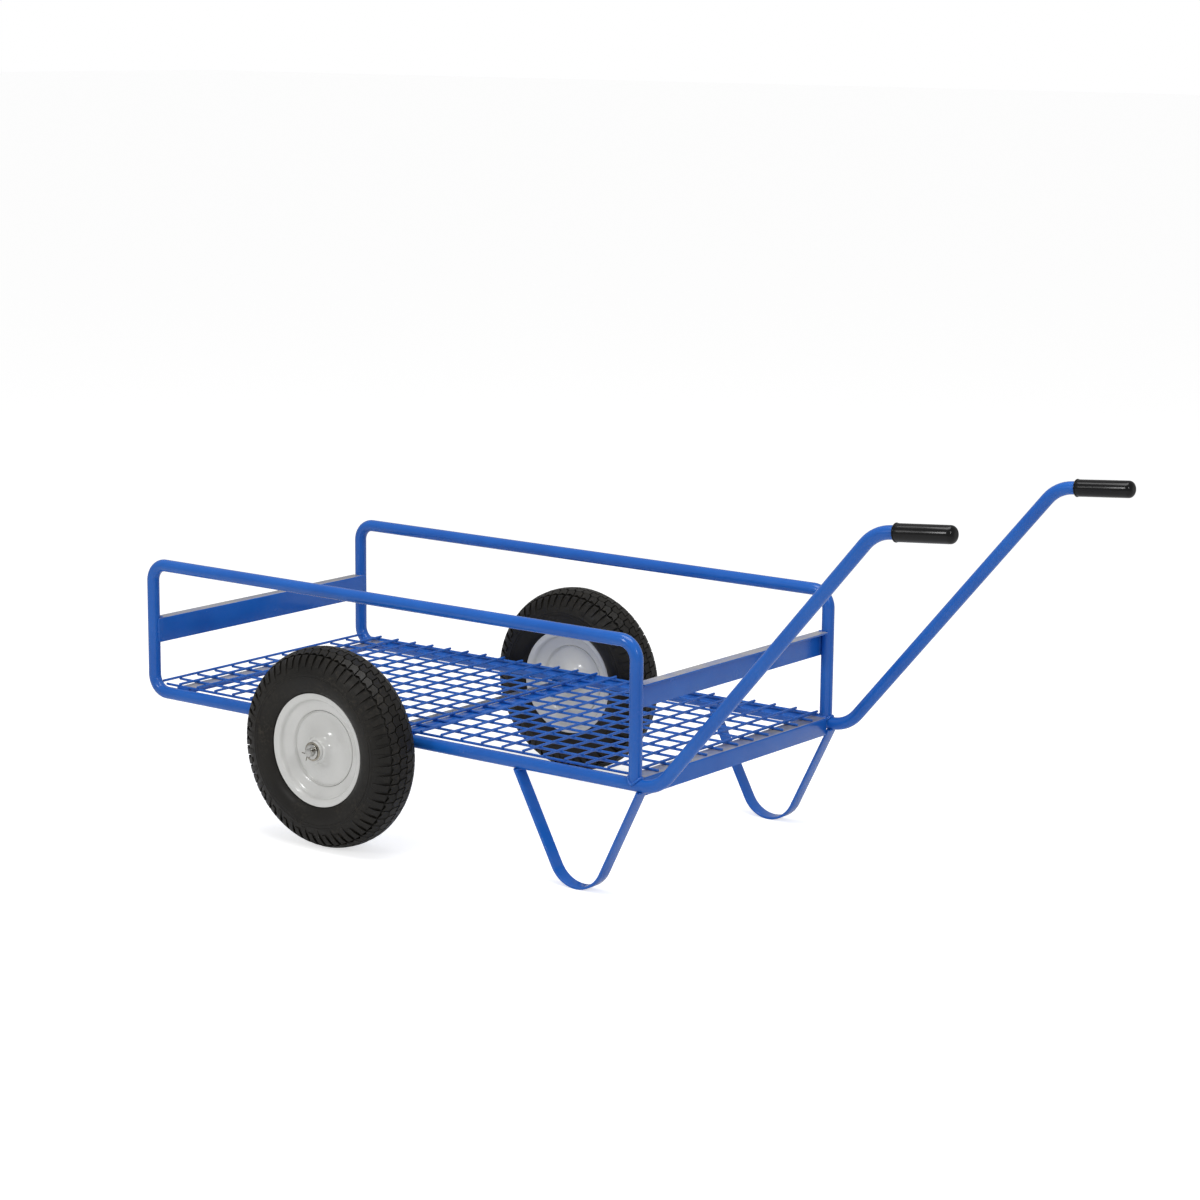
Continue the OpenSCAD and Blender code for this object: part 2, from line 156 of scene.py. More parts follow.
def multiply(tree, first, second):
    node = tree.nodes.new("ShaderNodeMath")
    node.operation = "MULTIPLY"
    tree.links.new(first, node.inputs[0])
    if hasattr(second, "links"):
        tree.links.new(second, node.inputs[1])
    else:
        node.inputs[1].default_value = second
    return node.outputs["Value"]


# Broad drift of shade, fine dust in patches, and the roughness that goes with it.
finish, finish_in, finish_out = new_group(
    "handled_finish",
    [("Colour", "NodeSocketColor", (0.5, 0.5, 0.5, 1)),
     ("Deep Colour", "NodeSocketColor", (0.4, 0.4, 0.4, 1)),
     ("Dust Colour", "NodeSocketColor", (0.5, 0.47, 0.42, 1)),
     ("Dust", "NodeSocketFloat", 0.1),
     ("Smooth", "NodeSocketFloat", 0.25),
     ("Rough", "NodeSocketFloat", 0.4)],
    [("Colour", "NodeSocketColor"), ("Roughness", "NodeSocketFloat")])
place = finish.nodes.new("ShaderNodeTexCoord").outputs["Object"]
drift = spread(finish, noise(finish, place, 9, 3), 0.35, 0.65)
specks = spread(finish, noise(finish, place, 160, 4, 0.65), 0.48, 0.74)
patches = spread(finish, noise(finish, place, 14, 3, 0.6), 0.45, 0.7)
dust = multiply(finish, multiply(finish, specks, patches), finish_in.outputs["Dust"])
shade = blend_colours(finish, drift, finish_in.outputs["Deep Colour"], finish_in.outputs["Colour"])
finish.links.new(blend_colours(finish, dust, shade, finish_in.outputs["Dust Colour"]),
                 finish_out.inputs["Colour"])
mix_rough = finish.nodes.new("ShaderNodeMapRange")
finish.links.new(patches, mix_rough.inputs["Value"])
finish.links.new(finish_in.outputs["Smooth"], mix_rough.inputs["To Min"])
finish.links.new(finish_in.outputs["Rough"], mix_rough.inputs["To Max"])
finish.links.new(mix_rough.outputs["Result"], finish_out.inputs["Roughness"])

# A fine even texture in the surface, such as orange peel or the grain of rubber.
grain, grain_in, grain_out = new_group(
    "fine_grain",
    [("Scale", "NodeSocketFloat", 500.0), ("Height", "NodeSocketFloat", 0.00002)],
    [("Normal", "NodeSocketVector")])
grain_place = grain.nodes.new("ShaderNodeTexCoord").outputs["Object"]
ripple = grain.nodes.new("ShaderNodeTexNoise")
ripple.inputs["Detail"].default_value = 2
grain.links.new(grain_place, ripple.inputs["Vector"])
grain.links.new(grain_in.outputs["Scale"], ripple.inputs["Scale"])
bump = grain.nodes.new("ShaderNodeBump")
grain.links.new(ripple.outputs["Fac"], bump.inputs["Height"])
grain.links.new(grain_in.outputs["Height"], bump.inputs["Distance"])
grain.links.new(bump.outputs["Normal"], grain_out.inputs["Normal"])

# Sharp edges lose a little of their coat: the mask is high where a bevelled
# normal leaves the true one, and is broken up by a fine noise.
wear_marks, wear_in, wear_out = new_group(
    "edge_wear",
    [("Colour", "NodeSocketColor", (0.5, 0.5, 0.5, 1)),
     ("Worn Colour", "NodeSocketColor", (0.6, 0.6, 0.6, 1)),
     ("Amount", "NodeSocketFloat", 0.3)],
    [("Colour", "NodeSocketColor")])
edge_softened = wear_marks.nodes.new("ShaderNodeBevel")
edge_softened.samples = 4
edge_softened.inputs["Radius"].default_value = 0.0012
edge_true = wear_marks.nodes.new("ShaderNodeNewGeometry")
agreement = wear_marks.nodes.new("ShaderNodeVectorMath")
agreement.operation = "DOT_PRODUCT"
wear_marks.links.new(edge_softened.outputs["Normal"], agreement.inputs[0])
wear_marks.links.new(edge_true.outputs["Normal"], agreement.inputs[1])
edge_mask = spread(wear_marks, agreement.outputs["Value"], 0.995, 0.93)
wear_place = wear_marks.nodes.new("ShaderNodeTexCoord").outputs["Object"]
broken = spread(wear_marks, noise(wear_marks, wear_place, 220, 3, 0.6), 0.42, 0.62)
worn = multiply(wear_marks, multiply(wear_marks, edge_mask, broken), wear_in.outputs["Amount"])
wear_marks.links.new(blend_colours(wear_marks, worn, wear_in.outputs["Colour"],
                                   wear_in.outputs["Worn Colour"]),
                     wear_out.inputs["Colour"])


def add_edge_wear(material, shader, worn_colour, amount):
    tree = material.node_tree
    marks = tree.nodes.new("ShaderNodeGroup")
    marks.node_tree = wear_marks
    marks.inputs["Worn Colour"].default_value = (*worn_colour, 1)
    marks.inputs["Amount"].default_value = amount
    tree.links.new(shader.inputs["Base Color"].links[0].from_socket, marks.inputs["Colour"])
    tree.links.new(marks.outputs["Colour"], shader.inputs["Base Color"])


def finished_material(name, colour, deep, dust_colour, dust_amount, smooth, rough, scale, height):
    material = bpy.data.materials.new(name)
    material.use_nodes = True
    tree = material.node_tree
    shader = tree.nodes["Principled BSDF"]
    surface = tree.nodes.new("ShaderNodeGroup")
    surface.node_tree = finish
    surface.inputs["Colour"].default_value = (*colour, 1)
    surface.inputs["Deep Colour"].default_value = (*deep, 1)
    surface.inputs["Dust Colour"].default_value = (*dust_colour, 1)
    surface.inputs["Dust"].default_value = dust_amount
    surface.inputs["Smooth"].default_value = smooth
    surface.inputs["Rough"].default_value = rough
    texture = tree.nodes.new("ShaderNodeGroup")
    texture.node_tree = grain
    texture.inputs["Scale"].default_value = scale
    texture.inputs["Height"].default_value = height
    tree.links.new(surface.outputs["Colour"], shader.inputs["Base Color"])
    tree.links.new(surface.outputs["Roughness"], shader.inputs["Roughness"])
    tree.links.new(texture.outputs["Normal"], shader.inputs["Normal"])
    return material, shader


def powder_coat(name, coat_weight, coat_roughness):
    material, shader = finished_material(
        name, (0.013, 0.132, 0.54), (0.010, 0.112, 0.49), (0.22, 0.27, 0.40), 0.08,
        0.20, 0.28, 420, 0.00006)
    shader.inputs["Specular IOR Level"].default_value = 0.32
    shader.inputs["Coat Weight"].default_value = coat_weight
    shader.inputs["Coat Roughness"].default_value = coat_roughness
    return material, shader


THIN_BLUE = (0.10, 0.20, 0.52)
BLUE_WEAR = 0.5
blue_coat, blue_shader = powder_coat("blue_powder_coat", 0.22, 0.08)
add_edge_wear(blue_coat, blue_shader, THIN_BLUE, BLUE_WEAR)

# Faces that point up are blended towards a flat grey and broken up by noise: a painted reflection
# of the pale room on the glossy coat, seen at a grazing angle.
PAINTED_SHEEN_GREY = (0.42, 0.40, 0.37)
sheen_coat, sheen_shader = powder_coat("sheen_powder_coat", 0.2, 0.15)
sheen_tree = sheen_coat.node_tree
facing = sheen_tree.nodes.new("ShaderNodeNewGeometry")
split = sheen_tree.nodes.new("ShaderNodeSeparateXYZ")
sheen_tree.links.new(facing.outputs["Normal"], split.inputs["Vector"])
sheen_place = sheen_tree.nodes.new("ShaderNodeTexCoord").outputs["Object"]
sheen_breakup = spread(sheen_tree, noise(sheen_tree, sheen_place, 22, 4, 0.6), 0.25, 0.6, 0.45, 0.9)
painted_sheen = multiply(sheen_tree, spread(sheen_tree, split.outputs["Z"], 0.8, 0.97), sheen_breakup)
clean = sheen_shader.inputs["Base Color"].links[0].from_socket
sheen_tree.links.new(blend_colours(sheen_tree, painted_sheen, clean, PAINTED_SHEEN_GREY),
                     sheen_shader.inputs["Base Color"])
add_edge_wear(sheen_coat, sheen_shader, THIN_BLUE, BLUE_WEAR)

# ---- Side tubes --------------------------------------------------------------
# One round steel tube a side makes the handle, the lower rail, the front post,
# the top rail and the rear post. It is cold bent, and welded where its end lands.
TUBE_R = 0.0127
BED_LENGTH = 1.250
SIDE_HEIGHT = 0.270
HANDLE_START = 0.052
HANDLE_RUN = 0.453
HANDLE_RISE = 0.531
GRIP_REACH = 0.157
GRIP_TILT = math.radians(4.4)
CORNER_R = 0.036
HANDLE_R = 0.076

low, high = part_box("side_tube_left")
front_x = low.x + TUBE_R
rail_z = low.z + TUBE_R
half_width = -(low.y + high.y) / 2
rear_x = front_x + BED_LENGTH
handle_top = Vector((rear_x + HANDLE_START + HANDLE_RUN, 0, rail_z + HANDLE_RISE))
grip_direction = Vector((math.cos(GRIP_TILT), 0, math.sin(GRIP_TILT)))
tube_route = [
    (handle_top + GRIP_REACH * grip_direction, 0),
    (handle_top, HANDLE_R),
    (Vector((rear_x + HANDLE_START, 0, rail_z)), HANDLE_R),
    (Vector((front_x, 0, rail_z)), CORNER_R),
    (Vector((front_x, 0, rail_z + SIDE_HEIGHT)), CORNER_R),
    (Vector((rear_x, 0, rail_z + SIDE_HEIGHT)), CORNER_R),
    (Vector((rear_x, 0, rail_z)), 0),
]


def select_only(piece):
    bpy.ops.object.select_all(action="DESELECT")
    piece.select_set(True)
    bpy.context.view_layer.objects.active = piece


def edit(piece):
    select_only(piece)
    bpy.ops.object.mode_set(mode="EDIT")
    bpy.ops.mesh.select_mode(type="VERT")
    bpy.ops.mesh.select_all(action="SELECT")


def leave():
    bpy.ops.object.mode_set(mode="OBJECT")


def settle(piece):
    select_only(piece)
    bpy.ops.object.transform_apply(location=True, rotation=True, scale=True)


def tidy_mesh(piece, angle=35, gap=0.000002):
    edit(piece)
    bpy.ops.mesh.remove_doubles(threshold=gap)
    bpy.ops.mesh.normals_make_consistent(inside=False)
    leave()
    bpy.ops.object.shade_smooth_by_angle(angle=math.radians(angle))


def apply_modifier(piece, kind, **settings):
    select_only(piece)
    modifier = piece.modifiers.new(kind.lower(), kind)
    for key, value in settings.items():
        setattr(modifier, key, value)
    bpy.ops.object.modifier_apply(modifier=modifier.name)


def bend_turn(before, corner, after):
    into = (corner - before).normalized()
    out = (after - corner).normalized()
    return math.atan2(into.x * out.z - into.z * out.x, into.dot(out))


def bend_along(piece, route, degrees_a_step=6):
    """Draws a capped section, already standing at the route's start, along the route."""
    edit(piece)
    here = route[0][0]
    for index in range(1, len(route)):
        corner, radius = route[index]
        ahead = (corner - here).normalized()
        if index == len(route) - 1:
            bpy.ops.mesh.extrude_region_move(TRANSFORM_OT_translate={"value": corner - here})
            break
        turn = bend_turn(here, corner, route[index + 1][0])
        setback = radius * math.tan(abs(turn) / 2)
        begin = corner - ahead * setback
        bpy.ops.mesh.extrude_region_move(TRANSFORM_OT_translate={"value": begin - here})
        across = Vector((-ahead.z, 0, ahead.x)) * math.copysign(radius, turn)
        bpy.ops.mesh.spin(steps=math.ceil(math.degrees(abs(turn)) / degrees_a_step), angle=turn,
                          center=begin + across, axis=(0, 1, 0))
        onward = (route[index + 1][0] - corner).normalized()
        here = corner + onward * setback
    leave()


def wear(piece, body, material, slot, *nodes):
    piece.data.materials.clear()
    piece.data.materials.append(material)
    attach(piece, body)
    if nodes:
        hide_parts(*nodes)


def copied(piece, name, offset, turn=0.0):
    mesh = piece.data.copy()
    mesh.transform(Matrix.Translation(offset) @ Matrix.Rotation(turn, 4, "Z"))
    twin = bpy.data.objects.new(name, mesh)
    scene.collection.objects.link(twin)
    return twin


SIDES = {"left": -half_width, "right": half_width}
bpy.ops.mesh.primitive_circle_add(vertices=32, radius=TUBE_R, fill_type="NGON",
                                  location=tube_route[0][0],
                                  rotation=(0, math.pi / 2 - GRIP_TILT, 0))
tube = bpy.context.object
settle(tube)
bend_along(tube, tube_route)
tidy_mesh(tube)
for side, y in SIDES.items():
    wear(copied(tube, f"bent_tube_{side}", (0, y, 0)), "cart_frame", blue_coat, "blue_paint",
         f"side_tube_{side}")
bpy.data.objects.remove(tube)

# ---- Grips -------------------------------------------------------------------
# A dipped vinyl sleeve pushed on each handle end. The closed end is rounded, the
# open end has a small rolled lip, and the skin is glossy with a faint pebble.
GRIP_R = 0.0165
GRIP_LENGTH = 0.119
GRIP_ROUND = 0.011
GRIP_CAP = 0.003
vinyl, vinyl_shader = finished_material(
    "black_vinyl", (0.004, 0.004, 0.0045), (0.002, 0.002, 0.0025), (0.10, 0.095, 0.09), 0.05,
    0.16, 0.24, 420, 0.000012)
vinyl_shader.inputs["Specular IOR Level"].default_value = 0.32


def turned(name, outline, segments):
    """Turns a line of (outboard distance, radius) about the Y axis, outboard to -Y."""
    start_y, start_r = outline[0]
    bpy.ops.mesh.primitive_circle_add(vertices=segments, radius=start_r, fill_type="NOTHING",
                                      location=(0, -start_y, 0), rotation=(math.pi / 2, 0, 0))
    piece = bpy.context.object
    piece.name = name
    settle(piece)
    edit(piece)
    for (y0, r0), (y1, r1) in zip(outline, outline[1:]):
        bpy.ops.mesh.extrude_region_move(TRANSFORM_OT_translate={"value": (0, y0 - y1, 0)})
        grow = r1 / r0
        bpy.ops.transform.resize(value=(grow, 1, grow), center_override=(0, -y1, 0))
    leave()
    return piece


def arc(centre, radius, start, end, steps):
    """Points of (distance, radius) on a round, by angle in degrees from the axis."""
    angles = [math.radians(start + (end - start) * i / steps) for i in range(steps + 1)]
    return [(centre[0] + radius * math.cos(a), centre[1] + radius * math.sin(a)) for a in angles]


LIP_R = 0.0012
AXIS_GAP = 0.00001                       # a turned outline stops this far from its axis
sleeve = GRIP_LENGTH - GRIP_CAP
bore = TUBE_R + 0.00002
grip_outline = (
    [(sleeve, AXIS_GAP), (sleeve, bore), (0, bore)]
    + arc((LIP_R, GRIP_R - 0.0003), LIP_R, 180, 0, 8)
    + [(0.0040, GRIP_R), (0.010, GRIP_R - 0.0001), (0.06, GRIP_R)]
    + arc((GRIP_LENGTH - GRIP_ROUND, GRIP_R - GRIP_ROUND), GRIP_ROUND, 90, 0, 10)
    + [(GRIP_LENGTH, 0.003), (GRIP_LENGTH, AXIS_GAP)])
grip = turned("grip", grip_outline, 48)
tidy_mesh(grip, 50, 0.00003)
grip_start = handle_top + (GRIP_REACH + GRIP_CAP - GRIP_LENGTH) * grip_direction
along_handle = Vector((0, -1, 0)).rotation_difference(grip_direction).to_matrix().to_4x4()
grip.data.transform(Matrix.Translation(grip_start) @ along_handle)
for side, y in SIDES.items():
    wear(copied(grip, f"vinyl_grip_{side}", (0, y, 0)), "cart_frame", vinyl, "grip_vinyl",
         f"grip_{side}")
bpy.data.objects.remove(grip)

# ---- Upper crossbars ---------------------------------------------------------
# Two lengths of hot-rolled angle join the posts. The web stands on edge against
# the posts, and the top flange is coped at its ends so that it fits between them.
ANGLE_T = 0.0032


def boxed(name, low, high):
    bpy.ops.mesh.primitive_cube_add(size=1, location=(low + high) / 2, scale=high - low)
    piece = bpy.context.object
    piece.name = name
    settle(piece)
    return piece


def break_edges(piece, width):
    """Rounds every edge that turns by more than 50 degrees."""
    apply_modifier(piece, "BEVEL", width=width, segments=2, limit_method="ANGLE",
                   angle_limit=math.radians(50))


def cut_plane(point, normal):
    bpy.ops.mesh.select_all(action="SELECT")
    bpy.ops.mesh.bisect(plane_co=point, plane_no=normal)


def pick_faces(piece, wanted):
    """Selects only the faces whose centre and normal satisfy the test."""
    bpy.ops.mesh.select_all(action="DESELECT")
    leave()
    for face in piece.data.polygons:
        face.select = wanted(face.center, face.normal)
    bpy.ops.object.mode_set(mode="EDIT")
    bpy.ops.mesh.select_mode(type="FACE")


def pick_edges(piece, wanted):
    """Selects only the edges whose two ends satisfy the test."""
    bpy.ops.mesh.select_mode(type="EDGE")
    bpy.ops.mesh.select_all(action="DESELECT")
    leave()
    points = piece.data.vertices
    for edge in piece.data.edges:
        edge.select = all(wanted(points[v].co) for v in edge.vertices)
    bpy.ops.object.mode_set(mode="EDIT")


def angle_iron(name, node, flange_side, flange_half, heel):
    """Angle iron along Y in the node's box: a web at one side and a flange at the top.

    flange_side is the X direction in which the flange points, flange_half is half
    the flange's length, and heel is the radius of the outer corner.
    """
    low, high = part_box(node)
    web_x = (low.x, low.x + ANGLE_T) if flange_side > 0 else (high.x - ANGLE_T, high.x)
    piece = boxed(name, Vector((web_x[0], low.y, low.z)), Vector((web_x[1], high.y, high.z)))
    depth = high.x - low.x - ANGLE_T
    flange_z = high.z - ANGLE_T
    edit(piece)
    cut_plane((0, 0, flange_z), (0, 0, 1))
    if flange_half < high.y:
        cut_plane((0, flange_half, 0), (0, 1, 0))
        cut_plane((0, -flange_half, 0), (0, 1, 0))
    pick_faces(piece, lambda c, n: n.x * flange_side > 0.9 and c.z > flange_z
               and abs(c.y) < flange_half)
    bpy.ops.mesh.extrude_region_move(
        TRANSFORM_OT_translate={"value": (flange_side * depth, 0, 0)})
    heel_x = low.x if flange_side > 0 else high.x
    pick_edges(piece, lambda p: abs(p.x - heel_x) < 1e-5 and abs(p.z - high.z) < 1e-5)
    bpy.ops.mesh.bevel(offset=heel, segments=4)
    leave()
    break_edges(piece, 0.0006)
    tidy_mesh(piece, 40)
    return piece


FLANGE_GAP = 0.0005
flange_half = half_width - TUBE_R - FLANGE_GAP
for name, flange_side in (("front_upper_bar", -1), ("rear_upper_bar", 1)):
    bar = angle_iron(f"{name}_angle", name, flange_side, flange_half, 0.0012)
    # Its coat carries the painted grey reflection on the faces that point up.
    wear(bar, "cart_frame", sheen_coat, "blue_paint", name)

# ---- Deck angles and middle bar ----------------------------------------------
# The mesh lies on two angles and a flat bar, cut to fit between the side tubes.
# The rear angle is folded from thick strip, so its heel is well rounded.
for name, flange_side, heel in (("deck_front_angle", 1, 0.0016), ("deck_rear_angle", -1, 0.0035)):
    bar = angle_iron(f"{name}_iron", name, flange_side, math.inf, heel)
    # Its coat carries the painted grey reflection on the faces that point up.
    wear(bar, "cart_frame", sheen_coat, "blue_paint", name)

low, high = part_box("deck_middle_bar")
flat = boxed("deck_middle_bar_flat", low, high)
edit(flat)
pick_edges(flat, lambda p: p.z > (low.z + high.z) / 2)
bpy.ops.mesh.bevel(offset=0.0009, segments=3)
leave()
break_edges(flat, 0.0004)
tidy_mesh(flat, 40)
wear(flat, "cart_frame", blue_coat, "blue_paint", "deck_middle_bar")

# ---- Deck mesh ---------------------------------------------------------------
# Drawn wire welded in a square grid: long wires underneath, cross wires on top.
# Each crossing is fused by a flattened tack, and the ends are sheared square.
WIRE_R = 0.0024
CROSS_PITCH = 0.0508
CROSS_COUNT = 25
LONG_PITCH = 0.0525
LONG_COUNT = 13
EDGE_INSET = 0.012
POST_CLEAR = TUBE_R + 0.0015
NEAR_WIRE_START = 0.023
FAR_WIRE_START = CORNER_R + 0.002
CROSS_STUB = 0.0005
BURR = 0.0004
BURR_HEIGHT = 0.0003
TACK_SIZE = (0.0034, 0.0034, 0.0026)
FLANGE_TACK_SIZE = (0.0052, 0.0022, 0.0018)

long_low, long_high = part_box("deck_long_wires")
cross_low, cross_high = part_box("deck_cross_wires")
long_z = (long_low.z + long_high.z) / 2
cross_z = (cross_low.z + cross_high.z) / 2
first_cross_x = front_x + EDGE_INSET
first_long_y = -half_width + EDGE_INSET
last_long_y = first_long_y + (LONG_COUNT - 1) * LONG_PITCH


def repeat(piece, count, step):
    if count > 1:
        apply_modifier(piece, "ARRAY", count=count, use_relative_offset=False,
                       use_constant_offset=True, constant_offset_displace=step)


def wire(name, start, end, count=1, step=(0, 0, 0)):
    """A straight wire with slightly burred square ends, repeated by a step."""
    line = end - start
    turn = Vector((0, 0, 1)).rotation_difference(line).to_euler()
    bpy.ops.mesh.primitive_cylinder_add(vertices=12, radius=WIRE_R, depth=line.length,
                                        location=(start + end) / 2, rotation=turn)
    piece = bpy.context.object
    piece.name = name
    settle(piece)
    edit(piece)
    pick_faces(piece, lambda c, n: abs(n.dot(line.normalized())) > 0.9)
    bpy.ops.mesh.inset(thickness=BURR, depth=BURR_HEIGHT, use_individual=True)
    leave()
    repeat(piece, count, step)
    return piece


def joined(pieces, name):
    select_only(pieces[0])
    for piece in pieces[1:]:
        piece.select_set(True)
    bpy.ops.object.join()
    pieces[0].name = name
    return pieces[0]


outer_end = rear_x - POST_CLEAR
long_wires = joined([
    wire("long", Vector((long_low.x, first_long_y + LONG_PITCH, long_z)),
         Vector((long_high.x, first_long_y + LONG_PITCH, long_z)), LONG_COUNT - 2,
         (0, LONG_PITCH, 0)),
    wire("near", Vector((front_x + NEAR_WIRE_START, first_long_y, long_z)),
         Vector((outer_end, first_long_y, long_z))),
    wire("far", Vector((front_x + FAR_WIRE_START, last_long_y, long_z)),
         Vector((outer_end, last_long_y, long_z))),
], "deck_mesh_long")
tidy_mesh(long_wires)
wear(long_wires, "cart_frame", blue_coat, "blue_paint", "deck_long_wires")

cross_wires = joined([
    wire("cross", Vector((first_cross_x + CROSS_PITCH, cross_low.y, cross_z)),
         Vector((first_cross_x + CROSS_PITCH, cross_high.y, cross_z)), CROSS_COUNT - 1,
         (CROSS_PITCH, 0, 0)),
    wire("first", Vector((first_cross_x, first_long_y + CROSS_STUB, cross_z)),
         Vector((first_cross_x, half_width - TUBE_R - CROSS_STUB, cross_z))),
], "deck_mesh_cross")
tidy_mesh(cross_wires)
wear(cross_wires, "cart_frame", blue_coat, "blue_paint", "deck_cross_wires")


def tack_grid(name, start, size, counts, steps):
    """A grid of small fused lumps."""
    bpy.ops.mesh.primitive_uv_sphere_add(segments=8, ring_count=5, radius=1, location=start,
                                         scale=size)
    piece = bpy.context.object
    settle(piece)
    for count, step in zip(counts, steps):
        repeat(piece, count, step)
    piece.name = name
    bpy.ops.object.shade_smooth()
    return piece


wire_tacks = tack_grid(
    "mesh_tacks", (first_cross_x + CROSS_PITCH, first_long_y + LONG_PITCH, (long_z + cross_z) / 2),
    TACK_SIZE, (CROSS_COUNT - 1, LONG_COUNT - 2),
    ((CROSS_PITCH, 0, 0), (0, LONG_PITCH, 0)))
wear(wire_tacks, "cart_frame", blue_coat, "blue_paint")

front_angle_low, front_angle_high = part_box("deck_front_angle")
middle_low, middle_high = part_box("deck_middle_bar")
rear_angle_low, rear_angle_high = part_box("deck_rear_angle")
flange_places = (front_angle_low.x + 0.011, (middle_low.x + middle_high.x) / 2,
                 rear_angle_low.x + 0.012)
flange_tacks = joined([
    tack_grid(f"tack_{index}", (x, first_long_y + LONG_PITCH + 0.0028, long_low.z + 0.0006),
              FLANGE_TACK_SIZE, (LONG_COUNT - 2,), ((0, LONG_PITCH, 0),))
    for index, x in enumerate(flange_places)
], "flange_tacks")
wear(flange_tacks, "cart_frame", blue_coat, "blue_paint")

# ---- V legs ------------------------------------------------------------------
# A flat bar a side is bent into a V with a rounded foot. Both ends are sheared
# level and welded under the side tube.
LEG_WIDTH = 0.030
LEG_T = 0.005
FOOT_R = 0.063
LEG_FRONT = 0.975
LEG_REAR = 1.264
LEG_FOOT = 1.126

leg_top = rail_z - TUBE_R
spread_half = (LEG_REAR - LEG_FRONT) / 2


def foot_depth(half_angle):
    """How far below the floor the two limbs would meet, but for the foot's bend."""
    return FOOT_R * (1 / math.sin(half_angle) - 1) - LEG_T / 2


NEAR_HALF_ANGLE = math.radians(27)
OVERRUN = 0.008                          # drawn past the tube's underside, then cut level
half_angle = math.atan(spread_half / (leg_top + foot_depth(NEAR_HALF_ANGLE)))
leg_route = [
    (Vector((front_x + LEG_FRONT - OVERRUN / 2, 0, leg_top + OVERRUN)), 0),
    (Vector((front_x + LEG_FOOT, 0, -foot_depth(half_angle))), FOOT_R),
    (Vector((front_x + LEG_REAR + OVERRUN / 2, 0, leg_top + OVERRUN)), 0),
]
limb = (leg_route[1][0] - leg_route[0][0]).normalized()
bpy.ops.mesh.primitive_plane_add(size=1, location=leg_route[0][0],
                                 rotation=limb.to_track_quat("Z", "Y").to_euler())
leg = bpy.context.object
settle(leg)
# The section lies across the limb: its width along Y, its thickness in the XZ plane.
thick_way = Vector((-limb.z, 0, limb.x))
for corner, (across, out) in zip(leg.data.vertices, ((-1, -1), (1, -1), (-1, 1), (1, 1))):
    corner.co = (leg_route[0][0] + thick_way * out * LEG_T / 2
                 + Vector((0, across * LEG_WIDTH / 2, 0)))
edit(leg)
bpy.ops.mesh.bevel(offset=0.0009, segments=3, affect="VERTICES")
leave()
bend_along(leg, leg_route, 7)
edit(leg)
bpy.ops.mesh.bisect(plane_co=(0, 0, leg_top), plane_no=(0, 0, 1), clear_outer=True, use_fill=True)
leave()
tidy_mesh(leg, 30)
for side, y in SIDES.items():
    wear(copied(leg, f"v_leg_{side}", (0, y, 0)), "cart_frame", blue_coat, "blue_paint",
         f"leg_{side}")
bpy.data.objects.remove(leg)

# ---- Weld beads --------------------------------------------------------------
# Hand-laid beads hold the posts, crossbars, deck irons, legs and axle to the
# side tubes. Each is a row of overlapping ripples, painted with the frame.
BEAD_R = 0.0024
BEAD_STEP = 0.0012
RIPPLE_PITCH = 0.0031
SADDLE_RING_R = TUBE_R + 0.0008
SADDLE_BEAD_R = 0.0034
SADDLE_RIPPLES = 22
FLANGE_BEAD_R = 0.0020
IRON_BEAD_R = 0.0032
OFF_POST = 0.0012                        # a crossbar's beads stand this far off its posts


def straight_bead(start, end, radius=BEAD_R):
    """A rippled bead with rounded ends, from a sphere drawn out along its length."""
    start = Vector(start)
    line = Vector(end) - start
    rings = max(10, round(line.length / BEAD_STEP))
    bpy.ops.mesh.primitive_uv_sphere_add(segments=10, ring_count=rings, radius=1)
    piece = bpy.context.object
    turn = Vector((0, 0, 1)).rotation_difference(line.normalized()).to_matrix()
    for vertex in piece.data.vertices:
        across = math.hypot(vertex.co.x, vertex.co.y)
        along = math.acos(max(-1, min(1, -vertex.co.z))) / math.pi
        taper = min(1, math.sqrt(max(0, min(along, 1 - along) * line.length / radius)))
        ripple = 1 + 0.13 * math.sin(along * line.length / RIPPLE_PITCH * 2 * math.pi)
        scale = radius * taper * ripple / across if across > 1e-6 else 0
        vertex.co = start + line * along + turn @ Vector(
            (vertex.co.x * scale, vertex.co.y * scale, 0))
    bpy.ops.object.shade_smooth()
    return piece


def bead_across(x, y, half_length, z):
    """A bead across the underside of a side tube."""
    return straight_bead((x, y - half_length, z), (x, y + half_length, z))


def saddle_bead(centre):
    """The bead where a post stands on a rail of its own size."""
    bpy.ops.mesh.primitive_torus_add(major_segments=72, minor_segments=10,
                                     major_radius=SADDLE_RING_R, minor_radius=SADDLE_BEAD_R)
    piece = bpy.context.object
    for vertex in piece.data.vertices:
        around = math.atan2(vertex.co.y, vertex.co.x)
        ring = Vector((math.cos(around), math.sin(around), 0)) * SADDLE_RING_R
        swell = 1 + 0.14 * math.sin(around * SADDLE_RIPPLES)
        height = math.sqrt(max(0, (TUBE_R + 0.001) ** 2 - ring.y ** 2))
        vertex.co = centre + ring + (vertex.co - ring) * swell + Vector((0, 0, height))
    bpy.ops.object.shade_smooth()
    return piece


